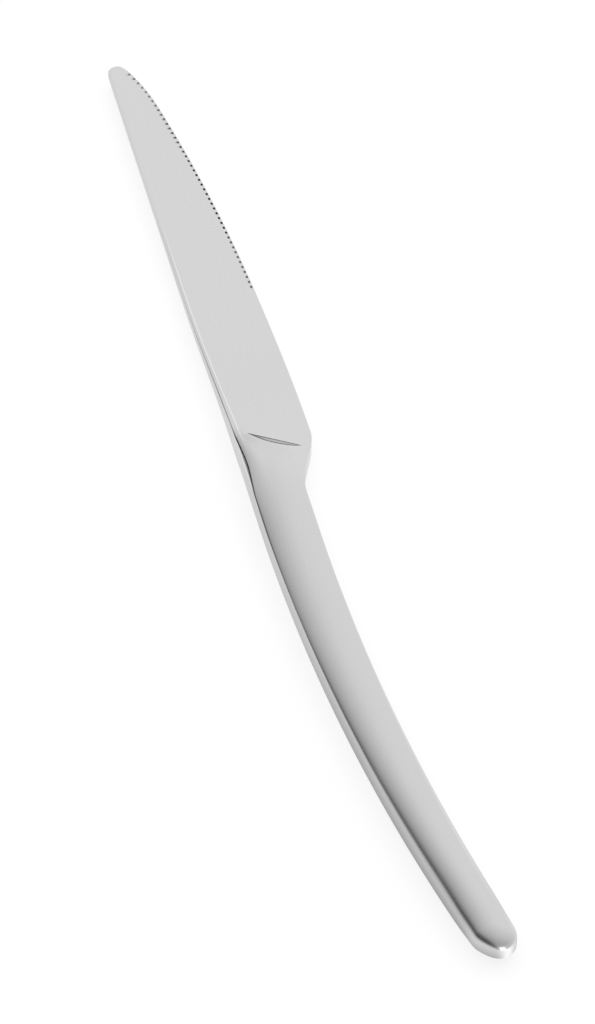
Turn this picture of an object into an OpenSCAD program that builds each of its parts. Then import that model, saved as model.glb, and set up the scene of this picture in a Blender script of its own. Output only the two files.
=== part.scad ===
// Steak knife: a forged blade with bolster and tang, cemented into a hollow handle of two pressed shells.
// Millimetres, +Z up. The knife lies on its side with the tip towards +X and the spine towards +Y.
// The origin is on the flat land under the handle, near the balance point.

/* [Blade] */
// Length of the blade, measured from the plan's zero at the bolster to the tip
blade_len = 107; // [100:0.2:115]
// Width of the blade at the heel, from spine line to cutting edge
blade_w = 14.8; // [14:0.1:16.2]
// Rise of the cutting edge between heel and tip
edge_rise = 10.4; // [9.6:0.1:11]
// Rise of the spine from the handle to the straight part of the blade
spine_rise = 0.85; // [0.4:0.05:1.2]
// Thickness of the spine towards the tip
spine_t = 1.5; // [1.2:0.1:2]
// Further thickness of the spine at the plan's zero, dying away towards the tip
spine_gain = 4.6; // [4:0.1:5]
// Thickness of the cutting edge before honing
edge_t = 0.28; // [0.24:0.02:0.4]
// Thickness of the unsharpened heel
heel_t = 3.4; // [2.6:0.1:3.8]
// Width of the narrow shoulder between spine and ground face, towards the tip
shoulder_w = 0.6; // [0.4:0.1:0.9]
// Width of the shoulder at the bolster
shoulder_heel = 1.1; // [1:0.1:1.4]
// Height that the shoulder gains over its width
shoulder_rise = 0.08; // [0.04:0.01:0.12]

/* [Serration] */
// Number of ground notches along the front of the edge
notch_count = 46; // [40:1:46]
// Distance from one notch to the next along the blade
notch_pitch = 1.42; // [1.3:0.02:1.42]
// Radius of the round grinding that makes a notch
notch_r = 0.23; // [0.17:0.01:0.24]

/* [Bolster] */
// Distance from the plan's zero back to the joint with the handle shells
bolster_len = 18; // [17.5:0.1:20]
// Extra half height of the spine side at the bolster
swell = 0.5; // [0.3:0.05:0.7]
// Rounding of the spine side's arris at the bolster
arris_r = 0.6; // [0.3:0.05:0.8]
// Slant of the step at the end of the ground face, from square across the blade
step_slant = 27.8; // [22:0.2:32]
// Length of the sloping step at its middle
step_run = 1.5; // [0.8:0.1:1.6]
// Part of the crown's height that is left at the middle of the step
crown_keep = 0.27; // [0.2:0.01:0.34]

/* [Handle] */
// Length of the handle along its centre line, from the plan's zero to the butt
handle_len = 129.6; // [122:0.1:137]
// Width of the handle at the neck
neck_w = 10.1; // [9.6:0.1:10.8]
// Width of the handle at the butt
butt_w = 8; // [7.2:0.1:8.6]
// Length of the half ellipse that rounds the end
end_len = 5.5; // [4.6:0.1:6.4]
// Thickness of the handle over its flat lands
handle_t = 7.7; // [7.4:0.1:8.2]
// Half height of the upright sides at the neck
side_neck = 2.45; // [2.2:0.05:2.6]
// Half height of the upright sides where the butt's rounding begins
side_butt = 1.45; // [1.3:0.05:1.7]
// Half height of the upright side at the very end
side_end = 0.75; // [0.7:0.05:1.1]
// Power of the arc over the sides at the neck, near 1 for a sharp rim
rim_neck = 1.15; // [1.08:0.01:1.3]
// Power of the arc over the sides at the butt
rim_butt = 1.5; // [1.3:0.05:1.7]
// Height by which the face falls at the butt
butt_fall = 0.65; // [0.4:0.05:0.8]
// Radius of the centre line behind the neck
bend_r = 434; // [390:2:500]
// Thickness of the pressed shell
shell_t = 0.9; // [0.7:0.05:1.1]

/* [Inside the handle] */
// Length of the spigot that locates the shells
spigot_len = 4; // [3:0.1:5]
// Length of the tang behind the spigot
tang_len = 56; // [40:1:60]
// Width of the tang where it leaves the spigot
tang_w = 4.6; // [3.6:0.1:5]
// Thickness of the tang
tang_t = 2.4; // [1.8:0.1:2.8]
// Size of the braze bead along the inside of the seam
bead = 0.55; // [0.4:0.05:0.7]

/* [Hidden] */
// Distance from the plan's zero back to the origin
rest_x = 28;
// Length over which the spine rises from the handle
spine_run = 40;
// Length over which the further thickness of the spine dies away
spine_fade = 14;
// Length of the spine's rounding at the tip
tip_run = 1.9;
// Drop of the spine at the tip
tip_drop = 2.4;
// Length of the edge's rounding at the tip
tip_sweep = 14;
// Power of the edge's sweep
sweep = 2.25;
// Where the curve between heel and belly begins, which ends at the joint
heel_x = -1;
// Power that draws this curve out towards the joint
heel_draw = 1.4;
// Where the heel is thickest
heel_at = -4;
// Length over which the heel's thickness runs out to the cutting edge
heel_fade = 40;
// Length over which the shoulder narrows
shoulder_fade = 20;
// Where the shoulder has died away
shoulder_end = 72;
// Where the bolster's spine side is highest
swell_at = -5;
// Length over which the spine side rises to its highest place
swell_run = 22;
// Where the arris is most rounded
soft_at = -7;
// Length over which the rounding of the arris comes in
soft_run = 10.5;
// Place of the step along the plan
step_x = -1.45;
// Place of the step across the plan
step_y = -2.4;
// Middle of the step, as a part of the blade's width
step_mid = 0.54;
// Half length of the step, as a part of the blade's width
step_half = 0.34;
// Length of the step where it fades out
step_end = 0.15;
// Distance over which the slant of the step fades towards the tip
slant_fade = 20;
// Power of the wear that takes the crown down towards the step
wear = 1.9;
// Power of that wear along the spine
wear_spine = 3.4;
// Where the first notch stands behind the tip
notch_start = 2.8;
// Lean of a notch's grinding
notch_lean = 65;
// Where the centre line begins to bend
bend_start = 24;
// Part of the handle's length where the face begins to fall
fall_from = 0.86;
// Power of the arc over the very end
rim_end = 2;
// Where the end's rounding begins, before the centre of the round end
end_from = 6;
// Length over which the end's rounding comes in
end_run = 9;
// Fullness that the round end gains on the belly side and loses on the spine side
end_skew = 1;
// Stock on a shell's crown that grinding the land takes off
land_stock = 0.12;
// Width and thickness of the tang's end as parts of its root
tang_taper = 0.62;
// Half thickness of the handle
half_t = handle_t / 2;
// Centre of the round end
cap_s = handle_len - end_len;
// Plan height of the heel
heel_y = neck_w / 2 - blade_w;
// Plan height of the tip
tip_y = neck_w / 2 + spine_rise - tip_drop;
// End of the spigot on the centre line
spigot_s = bolster_len + spigot_len;
// Distance from the step to the joint
blend_len = bolster_len + step_x;
// Places on a crown from the side to near the middle, as parts of the half width
CROWN = [0, 0.01, 0.04, 0.1, 0.2, 0.35, 0.55, 0.8];
// Points on one side of a section
QUARTER = len(CROWN);

function ease(t) = let (c = min(1, max(0, t))) c * c * (3 - 2 * c);
function mix(a, b, t) = a + (b - a) * t;
function round_off(t) = 1 - sqrt(max(0, 1 - pow(max(0, t), 2)));
function quad(a, b, c, d) = [[a, b, c], [a, c, d]];
function joined(lists) = [for (one = lists) for (face = one) face];

// Centre line of the handle and the direction across it towards the spine
function bend(s) = max(0, s - bend_start) / bend_r * 180 / PI;
function centre(s) = [-min(s, bend_start) - bend_r * sin(bend(s)), -bend_r * (1 - cos(bend(s)))];
function across(s) = [-sin(bend(s)), cos(bend(s))];
function along(s) = [-cos(bend(s)), -sin(bend(s))];
function taper(s) = max(0, s - bend_start) / (cap_s - bend_start);
function half_w(s) = mix(neck_w, butt_w, taper(s)) / 2;
function top_height(s) = half_t - butt_fall * pow(max(0, taper(s) - fall_from) / (1 - fall_from), 2);
// Side height and power of the arc for a section, both changing over to the end's rounding
function end_part(reach) = ease((reach - cap_s + end_from) / end_run);
function side_height(s, reach) =
    mix(mix(side_neck, side_butt, pow(taper(s), 2.6)), side_end, end_part(reach));
function rim_power(s, reach) = mix(mix(rim_neck, rim_butt, taper(s)), rim_end, end_part(reach));
function swelling(x) = swell * ease(1 - abs(x - swell_at) / swell_run);

// Rounding of the arris along the bolster, and the height it takes away at distance d from the outline
function softness(x) = arris_r * ease(1 - abs(x - soft_at) / soft_run);
function rounding(d, soft) = soft * round_off(1 - d / max(soft, 0.001));

// Height of a face, u going from the upright side to the middle
function crown(u, side, top, power) = side + (top - side) * pow(1 - pow(1 - u, 2), 1 / power);
// Section of one face from the seam over the side to the crown, as [distance from the outline, height]
function section(w, side, top, power) =
    concat([[0, 0]], [for (u = CROWN) [w * u, crown(u, side, top, power)]]);
// A rim is [centre, direction outwards, distance along the centre line, side height, power, radius]
function spine_rim(s) =
    [centre(s), across(s), s, side_height(s, s) + swelling(-s), rim_power(s, s), half_w(s)];
function belly_rim(s) = [centre(s), -across(s), s, side_height(s, s), rim_power(s, s), half_w(s)];
function end_rim(a) =
    let (reach = cap_s + end_len * cos(a))
    let (radius = 1 / norm([sin(a) / half_w(cap_s), cos(a) / end_len]))
    [centre(cap_s), across(cap_s) * sin(a) + along(cap_s) * cos(a), cap_s,
     side_height(cap_s, reach), rim_power(cap_s, reach), radius - end_skew * pow(cos(a), 2) * sin(a)];
function outer_section(r) = section(r[5], r[3], top_height(r[2]) + land_stock, r[4]);
// The inside stays upright over the braze bead
function inner_section(r) =
    let (side = max(bead + 0.1, r[3] - shell_t / 2))
    section(r[5] - shell_t, side, top_height(r[2]) - shell_t, r[4]);

// Stations along the outline from the mouth's spine side, round the butt, to the mouth's belly side
function side_stations(from) =
    concat([for (s = [bolster_len, spigot_s, bend_start]) if (s >= from) s],
           [for (i = [1:18]) mix(bend_start, cap_s, i / 18)]);
function rim_points(from) =
    let (list = side_stations(from))
    let (last = len(list) - 1)
    concat(
        [for (s = list) spine_rim(s)],
        [for (i = [1:11]) end_rim(90 - 15 * i)],
        [for (i = [0:last]) belly_rim(list[last - i])]
    );
function rim_grid(rims, inset, sections) =
    [for (r = rims) for (p = sections(r))
        let (xy = r[0] + r[1] * (r[5] - inset - p[0])) [xy[0], xy[1], p[1]]];
// Faces of a strip of columns, of a land closed across the handle, and of the rows between two columns
function skin(n, k, at, flip) =
    joined([for (u = [0:n - 2]) for (i = [0:k - 2])
        let (a = at + u * k + i)
        flip ? quad(a, a + k, a + k + 1, a + 1) : quad(a, a + 1, a + k + 1, a + k)]);
function land_faces(n, sides, k, row, at, flip) =
    let (id = [for (u = [0:n - 1]) at + u * k + row])
    concat(
        joined([for (j = [0:sides - 2])
            flip ? quad(id[n - 1 - j], id[j], id[j + 1], id[n - 2 - j])
                 : quad(id[j + 1], id[j], id[n - 1 - j], id[n - 2 - j])]),
        [for (u = [sides:n - sides - 1])
            flip ? [id[sides - 1], id[u], id[u + 1]] : [id[sides - 1], id[u + 1], id[u]]]
    );

module shell_body() {
    rims = rim_points(bolster_len);
    n = len(rims);
    sides = len(side_stations(bolster_len));
    k = QUARTER + 1;
    inner = n * k;
    last = (n - 1) * k;
    faces = concat(
        skin(n, k, 0, false),
        skin(n, k, inner, true),
        land_faces(n, sides, k, k - 1, 0, false),
        land_faces(n, sides, k, k - 1, inner, true),
        joined([for (u = [0:n - 2]) quad(u * k, (u + 1) * k, inner + (u + 1) * k, inner + u * k)]),
        joined([for (i = [0:k - 2]) quad(inner + i, inner + i + 1, i + 1, i)]),
        joined([for (i = [0:k - 2])
            quad(last + i, last + i + 1, inner + last + i + 1, inner + last + i)]),
        quad(inner + last + k - 1, last + k - 1, k - 1, inner + k - 1)
    );
    polyhedron(
        points = concat(
            rim_grid(rims, 0, function(r) outer_section(r)),
            rim_grid(rims, shell_t, function(r) inner_section(r))
        ),
        faces = faces
    );
}

// The land is ground flat on the crown of the shell
module ground_shell() {
    intersection() {
        shell_body();
        translate([-2 * handle_len, -handle_len, -half_t])
            cube([2 * handle_len, 2 * handle_len, 2 * half_t]);
    }
}

// Moves the plan's zero and middle plane to the origin on the land
module placed() {
    translate([rest_x, 0, half_t])
        children();
}

// The tang is straight, aimed at the middle of the bent handle
module tang() {
    end_s = spigot_s + tang_len;
    end = centre(end_s) + across(end_s) * 0.6;
    hull() {
        translate([-spigot_s, -tang_w / 2, -tang_t / 2])
            cube([spigot_len / 2, tang_w, tang_t]);
        translate([end[0], end[1] - tang_w * tang_taper / 2, -tang_t * tang_taper / 2])
            cube([1, tang_w * tang_taper, tang_t * tang_taper]);
    }
}

// Plan outline of the blade and bolster
function spine_base(x) = neck_w / 2 + spine_rise * ease(x / spine_run);
function spine_y(x) = spine_base(x) - tip_drop * round_off((x - blade_len + tip_run) / tip_run);
function edge_base(x) = heel_y + edge_rise * pow(max(0, x) / blade_len, sweep);
function edge_y(x) =
    edge_base(x) + (tip_y - edge_base(blade_len)) * round_off((x - blade_len + tip_sweep) / tip_sweep);
function belly_y(x) =
    let (t = max(0, x + bolster_len) / (bolster_len + heel_x))
    x > 0 ? edge_y(x) : mix(-neck_w / 2, heel_y, ease(pow(t, heel_draw)));

// Half height of the spine side: the lower of the bolster's swelling and the blade's taper, blended smoothly
function spine_side(x) =
    let (behind = side_neck + swelling(x))
    let (ahead = (spine_t + spine_gain * exp(-x / spine_fade)) / 2)
    pow(pow(behind, -12) + pow(ahead, -12), -1 / 12);
// Half height of the belly side: the neck's, the unsharpened heel's and then the cutting edge's
function belly_side(x) =
    x < heel_at ? mix(side_neck, heel_t / 2, ease((x + bolster_len) / (bolster_len + heel_at)))
                : mix(edge_t / 2, heel_t / 2, ease(1 - (x - heel_at) / heel_fade));

// A station runs square across the blade far from the step and along the step's slant beside it
function slant(q) =
    tan(step_slant) * (q < 0 ? ease(1 + q / blend_len) : ease(1 - q / slant_fade));
function slant_x(q, y) = q + step_x + slant(q) * (y - step_y);
function spine_at(q) = let (x = slant_x(q, neck_w / 2)) [x, spine_y(x)];
function settle(q, y, turns) = turns == 0 ? y : settle(q, belly_y(slant_x(q, y)), turns - 1);
function belly_at(q) = let (y = settle(q, belly_y(q + step_x), 12)) [slant_x(q, y), y];

// Upper half of a section from spine to belly, as [part of the width, height]
function handle_half(spine, belly, soft, w) =
    let (height = function(u, side) min(half_t, crown(u, side, half_t + land_stock, rim_neck)))
    concat([for (u = CROWN) [u / 2, height(u, spine) - rounding(u / 2 * w, soft)]],
           [for (i = [1:QUARTER]) let (u = CROWN[QUARTER - i]) [1 - u / 2, height(u, belly)]]);
// The ground face is flat between spine and edge, and the tip's rounding is cut out of it
function blade_half(a, b) =
    let (x = (a[0] + b[0]) / 2)
    let (band = spine_side(a[0]))
    let (top = band + shoulder_rise * ease((shoulder_end - x) / 24))
    let (full = spine_base(a[0]) - (b[0] > 0 ? edge_base(b[0]) : b[1]))
    let (facet = mix(shoulder_w, shoulder_heel, exp(-max(0, x) / shoulder_fade)))
    let (s = facet / full)
    let (level = function(f) f < s ? mix(band, top, f / s) : mix(top, belly_side(b[0]), (f - s) / (1 - s)))
    let (at = function(v) (spine_base(a[0]) - mix(a[1], b[1], v)) / full)
    let (width = a[1] - b[1])
    let (w = min(0.3, facet / width))
    [for (v = [0, 0.06 * w, 0.25 * w, 0.6 * w, w, mix(w, 0.36, 0.4), mix(w, 0.36, 0.7), 0.36,
               0.66, 0.78, 0.88, 0.94, 0.96, 0.975, 0.99, 1])
        [v, level(at(v)) - rounding(v * width, softness(a[0]))]];
function step_part(v) = max(0, 1 - pow((v - step_mid) / step_half, 2));
function worn(q, v) =
    let (power = mix(wear_spine, wear, ease(v / 0.4)))
    ease(pow(max(0, q + blend_len) / blend_len, power)) * (1 - crown_keep * step_part(v));

// Points of one station: full crown behind the step, ground face in front of it
function upper_points(q, ground) =
    let (a = spine_at(q))
    let (b = belly_at(q))
    let (handle = handle_half(spine_side(a[0]), belly_side(b[0]), softness(a[0]), norm(a - b)))
    let (blade = blade_half(a, b))
    [for (i = [0:2 * QUARTER - 1])
        let (t = ground ? 1 : worn(q, blade[i][0]))
        let (p = handle[i] * (1 - t) + blade[i] * t)
        [mix(a[0], b[0], p[0]), mix(a[1], b[1], p[0]), p[1]]];
function ring(half) =
    concat(half, [for (i = [1:len(half)]) let (p = half[len(half) - i]) [p[0], p[1], -p[2]]]);
function spigot_half(s) =
    let (spine = inner_section(spine_rim(s)))
    let (belly = inner_section(belly_rim(s)))
    let (w = half_w(s) - shell_t)
    concat([for (i = [1:QUARTER]) [-s, w - spine[i][0], spine[i][1]]],
           [for (i = [1:QUARTER]) let (p = belly[QUARTER + 1 - i]) [-s, p[0] - w, p[1]]]);
function step_top_half() =
    [for (i = [0:2 * QUARTER - 1])
        let (v = blade_half(spine_at(0), belly_at(0))[i][0])
        let (back = step_end + step_run * step_part(v))
        upper_points(-back, false)[i]];
// Stations behind the step, then along the blade, with close ones at the tip
BEHIND = [0, 0.15, 0.3, 0.43, 0.55, 0.66, 0.76, 0.85];
AHEAD = [3, 7, 12, slant_fade];
NEAR_TIP = [11, 8, 5.6, 3.8, 2.5, 1.7, 1.1, 0.6, 0.25, 0.08, 0.02];

module blade_body() {
    tip_q = blade_len - step_x;
    start_q = tip_q - tip_sweep;
    halves = concat(
        [spigot_half(spigot_s), spigot_half(bolster_len)],
        [for (t = BEHIND) upper_points(blend_len * (t - 1), false)],
        [step_top_half(), upper_points(0, true)],
        [for (q = AHEAD) upper_points(q, true)],
        [for (i = [1:12]) upper_points(mix(slant_fade, start_q, i / 12), true)],
        [for (d = NEAR_TIP) upper_points(tip_q - d, true)]
    );
    n = len(halves);
    r = 4 * QUARTER;
    end = (n - 1) * r;
    polyhedron(
        points = joined([for (h = halves) ring(h)]),
        faces = concat(
            joined([for (j = [0:n - 2]) for (i = [0:r - 1])
                let (m = (i + 1) % r)
                quad(j * r + i, (j + 1) * r + i, (j + 1) * r + m, j * r + m)]),
            joined([for (i = [0:r / 2 - 2]) quad(i, i + 1, r - 2 - i, r - 1 - i)]),
            joined([for (i = [0:r / 2 - 2]) quad(end + r - 1 - i, end + r - 2 - i, end + i + 1, end + i)])
        )
    );
}

// Round grindings that lean over the edge and break it into fine teeth
module notches() {
    for (i = [0:notch_count - 1]) {
        x = blade_len - notch_start - i * notch_pitch;
        turn = atan((edge_y(x + 0.1) - edge_y(x - 0.1)) / 0.2);
        translate([x, edge_y(x), edge_t / 2])
            rotate([0, 0, turn])
                rotate([-notch_lean, 0, 0])
                    translate([0, 0, -1])
                        cylinder(h = 2, r = notch_r, $fn = 16);
    }
}

module blade() {
    color("#c9ccce")
        placed()
            difference() {
                union() {
                    blade_body();
                    tang();
                }
                notches();
            }
}

module upper_handle_shell() {
    color("#c6c8ca")
        placed()
            ground_shell();
}

module lower_handle_shell() {
    color("#bfc1c4")
        placed()
            mirror([0, 0, 1])
                ground_shell();
}

// Three-cornered bead that runs round the inside of the seam
module seam_braze() {
    rims = rim_points(spigot_s);
    n = len(rims);
    end = (n - 1) * 3;
    wedge = [[0, -bead], [0, bead], [bead, 0]];
    color("#c8b27a")
        placed()
            polyhedron(
                points = rim_grid(rims, shell_t, function(r) wedge),
                faces = concat(
                    joined([for (u = [0:n - 2]) for (i = [0:2])
                        let (a = u * 3 + i)
                        let (b = u * 3 + (i + 1) % 3)
                        quad(a, b, b + 3, a + 3)]),
                    [[2, 1, 0]],
                    [[end, end + 1, end + 2]]
                )
            );
}

// Column of the filling's side from the lower land to the upper one, stepping in round the bead
function filling_column(r) =
    let (side = inner_section(r))
    concat(
        [for (i = [0:QUARTER - 1]) let (p = side[QUARTER - i]) [p[0], -p[1]]],
        [[0, -bead], [bead, 0], [0, bead]],
        [for (i = [1:QUARTER]) side[i]]
    );

module filling_body() {
    rims = rim_points(spigot_s);
    n = len(rims);
    sides = len(side_stations(spigot_s));
    k = 2 * QUARTER + 3;
    last = (n - 1) * k;
    polyhedron(
        points = rim_grid(rims, shell_t, function(r) filling_column(r)),
        faces = concat(
            skin(n, k, 0, false),
            land_faces(n, sides, k, k - 1, 0, false),
            land_faces(n, sides, k, 0, 0, true),
            joined([for (i = [0:k - 2]) quad(last + i, last + i + 1, i + 1, i)])
        )
    );
}

module handle_cement() {
    color("#d8d2c4")
        placed()
            difference() {
                filling_body();
                tang();
            }
}

blade();
upper_handle_shell();
lower_handle_shell();
seam_braze();
handle_cement();
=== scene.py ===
# Steak knife: smooth steel surfaces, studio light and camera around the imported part
import math

import bmesh
import bpy
import numpy as np
from mathutils import Matrix


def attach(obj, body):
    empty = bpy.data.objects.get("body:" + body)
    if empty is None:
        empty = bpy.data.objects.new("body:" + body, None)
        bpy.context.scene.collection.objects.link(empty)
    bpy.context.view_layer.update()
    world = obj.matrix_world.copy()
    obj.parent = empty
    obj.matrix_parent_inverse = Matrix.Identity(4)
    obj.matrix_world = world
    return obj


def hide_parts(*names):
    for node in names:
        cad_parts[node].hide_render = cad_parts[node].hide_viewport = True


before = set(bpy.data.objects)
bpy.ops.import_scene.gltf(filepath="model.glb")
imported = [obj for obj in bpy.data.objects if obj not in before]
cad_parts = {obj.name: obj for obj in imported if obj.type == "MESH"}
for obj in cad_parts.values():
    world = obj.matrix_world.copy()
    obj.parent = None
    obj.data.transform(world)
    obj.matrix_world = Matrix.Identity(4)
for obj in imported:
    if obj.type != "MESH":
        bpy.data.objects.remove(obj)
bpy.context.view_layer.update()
print("frame loaded")

# Sizes of the whole knife in millimetres, the same as in the part's source
knife = {
    "restX": 28.0,  # from the plan's zero back to the origin
    "halfThick": 3.85,  # half thickness over the lands
    "neckWidth": 10.1,
    "joint": 18.0,  # from the plan's zero to the joint of bolster and shells
    "wall": 0.9,  # thickness of the pressed shells
    "sideNeck": 2.45,  # half height of the upright sides behind the bolster
    "swell": 0.5,  # by which the spine side is higher at the bolster
    "swellAt": -5.0,
    "swellRun": 22.0,
    "soft": 0.6,  # rounding of the spine side's arris at the bolster
    "softAt": -7.0,
    "softRun": 10.5,
    "rimNeck": 1.15,  # power of the arc over the sides: near 1 has a sharp rim, 2 is an ellipse
}

# Painted shade on the upright sides, standing for the darker reflection of the table beside them, as parts of
# full tone; distances are millimetres behind the plan's zero
paintedSideTone = {
    "neck": 0.36,  # even on the bolster and the neck
    "upper": 0.5,  # on the handle further back, at the upper edge
    "lower": 1.0,  # and at the lower edge
    "atNeck": 0.15,  # part of that change which is there from the neck on
    "backFrom": 20.0,
    "backRun": 60.0,
    "steepNeck": 0.72,  # slope at which the grey begins
    "steepButt": 0.5,
    "blendNeck": 0.18,  # change of slope over which it comes in
    "blendButt": 0.4,
    "buttFrom": 100.0,
    "buttRun": 24.0,
    "end": 0.55,  # part that is left round the end
    "endFrom": 120.0,
    "endRun": 6.0,
    "bellyRun": 14.0,  # over which the bolster's belly side takes the neck's grey
}

# Painted dark reflection line along the spine side's arris and the painted shade beside it: millimetres, and
# parts of full tone
paintedArrisLook = {
    "inset": 0.08,  # from the outline to the middle of the line, where the arris is sharp
    "onSoft": 0.95,  # part of the rounding at which the line lies, where the arris is soft
    "half": 0.1,  # half width on the blade and the bolster
    "gain": 2.2,  # fullness of its middle
    "blade": 0.5,  # tone along the blade, against 1 beside the step
    "bladeEnd": 46.0,
    "bladeRun": 40.0,
    "stepEnd": 4.5,  # where the full tone ends ahead of the plan's zero
    "stepRun": 5.0,
    "joint": 0.7,  # tone at the joint
    "jointAt": 15.0,  # behind the plan's zero
    "jointRun": 7.0,
    "shellHalf": 0.15,
    "shellEnd": 45.0,
    "shellRun": 27.0,
    "shade": 0.4,
    "shadeWidth": 1.1,
    "shadeRun": 6.0,
    "shadeRise": 13.0,
}


# Smooth step from 0 to 1: 3 t squared less 2 t cubed
def ease(t):
    c = np.clip(t, 0.0, 1.0)
    return c * c * (3.0 - 2.0 * c)


# Value at part t of the way from a to b
def mix(a, b, t):
    return a + (b - a) * t


# How far a quarter ellipse has dropped after part t of its run
def roundOff(t):
    return 1.0 - np.sqrt(np.maximum(0.0, 1.0 - np.maximum(0.0, t) ** 2))


# Bell of height 1 at zero that falls to 1/e at t = 1
def bell(t):
    return np.exp(-(t**2))


# Plan points in millimetres to the row's frame in metres
def placed(points):
    return (points + np.array([knife["restX"], 0.0, knife["halfThick"]])) * 0.001


# Quadrilaterals between neighbouring rows and columns of a grid of point numbers
def quads(ids):
    return np.stack([ids[:-1, :-1], ids[:-1, 1:], ids[1:, 1:], ids[1:, :-1]], -1).reshape(-1, 4)


# Object from its data, linked into the scene
def newObject(name, data):
    obj = bpy.data.objects.new(name, data)
    bpy.context.collection.objects.link(obj)
    return obj


# Mesh object from points, face lists, a map of lengths for the brush lines and point values
def addPiece(name, points, faces, brush, values, sharpAngle):
    mesh = bpy.data.meshes.new(name)
    mesh.from_pydata(placed(points), [], faces)
    work = bmesh.new()
    work.from_mesh(mesh)
    bmesh.ops.recalc_face_normals(work, faces=work.faces)
    work.to_mesh(mesh)
    work.free()
    corner = np.empty(len(mesh.loops), dtype=np.int32)
    mesh.loops.foreach_get("vertex_index", corner)
    mesh.uv_layers.new(name="brushMm").data.foreach_set("uv", brush[corner].ravel())
    for key, value in values.items():
        mesh.attributes.new(key, "FLOAT", "POINT").data.foreach_set("value", value)
    mesh.polygons.foreach_set("use_smooth", np.ones(len(mesh.polygons), dtype=bool))
    mesh.set_sharp_from_angle(angle=math.radians(sharpAngle))
    return newObject(name, mesh)


# Height of a face, u going from the upright side to the middle: an arc whose power sets the rim's sharpness
def crownHeight(u, side, top, power):
    return side + (top - side) * (1.0 - (1.0 - u) ** 2) ** (1.0 / power)


# Extra height of the spine side: a smooth hump over the bolster
def swelling(x):
    return knife["swell"] * ease(1.0 - np.abs(x - knife["swellAt"]) / knife["swellRun"])


# Size of the rounding on the spine side's arris: a smooth hump behind the step
def softness(x):
    return knife["soft"] * ease(1.0 - np.abs(x - knife["softAt"]) / knife["softRun"])


# Height that a quarter round of size soft takes away at distance d from the outline
def rounding(d, soft):
    return soft * roundOff(1.0 - d / np.maximum(soft, 0.001))


# Handle: centre line straight at the neck and then an arc, width and rounding changing along it
handle = {
    "length": 129.6,
    "buttWidth": 8.0,
    "endLength": 5.5,  # of the half ellipse that rounds the end
    "bendRadius": 434.0,
    "bendStart": 24.0,
    "sideButt": 1.45,  # half height of the upright sides at the butt
    "sidePower": 2.6,  # of the change from neck to butt
    "rimButt": 1.5,
    "sideEnd": 0.75,  # half height of the upright side at the very end
    "rimEnd": 2.0,
    "endFrom": 6.0,  # where the end's rounding begins, before the centre of the round end
    "endRun": 9.0,
    "endSkew": 1.0,  # fullness that the end gains on the belly side and loses on the spine side
    "endInset": 0.045,  # by which the smooth end stays inside the faceted one
    "bead": 0.55,  # size of the braze bead inside
    "beadRoom": 0.1,  # height of the shell's inside over the bead, at the least
    "buttFall": 0.65,  # from the land down to the face at the butt
    "fallFrom": 0.86,  # part of the handle's length where the fall begins
    "sideRows": 130,
    "capRows": 48,
    "uprightCount": 5,
    "crownCount": 40,
    "innerCount": 14,
    "crownReach": 0.985,  # part of the half width that the section's points cover
    "bunch": 2.2,  # power that draws them together at the rim
    "sharpAngle": 40.0,
}
capAt = handle["length"] - handle["endLength"]

# Painted highlight: a bright streak on the end of the butt
paintedStreak = {
    "angle": 5.0,  # degrees to the belly side
    "spread": 15.0,
    "top": 2.2,  # height over the middle plane where it ends
    "fade": 0.8,
}


# Point, sideways direction and backward direction at distance s: a straight line, then an arc
def centreLine(s):
    past = np.maximum(0.0, s - handle["bendStart"])
    a = past / handle["bendRadius"]
    x = -np.minimum(s, handle["bendStart"]) - handle["bendRadius"] * np.sin(a)
    y = -handle["bendRadius"] * (1.0 - np.cos(a))
    across = np.stack([-np.sin(a), np.cos(a)], -1)
    along = np.stack([-np.cos(a), -np.sin(a)], -1)
    return np.stack([x, y], -1), across, along


# Part of the way from the start of the bend to the round end
def taper(s):
    return np.maximum(0.0, s - handle["bendStart"]) / (capAt - handle["bendStart"])


# Half the width, in a straight taper from neck to butt
def halfWidth(s):
    return mix(knife["neckWidth"], handle["buttWidth"], taper(s)) / 2


# Half height of the upright sides, falling by a power of the taper
def sideHeight(s):
    return mix(knife["sideNeck"], handle["sideButt"], taper(s) ** handle["sidePower"])


# Half height of the face's middle: level, then a parabola down to the butt
def topHeight(s):
    past = np.maximum(0.0, taper(s) - handle["fallFrom"]) / (1.0 - handle["fallFrom"])
    return knife["halfThick"] - handle["buttFall"] * past**2


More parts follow.
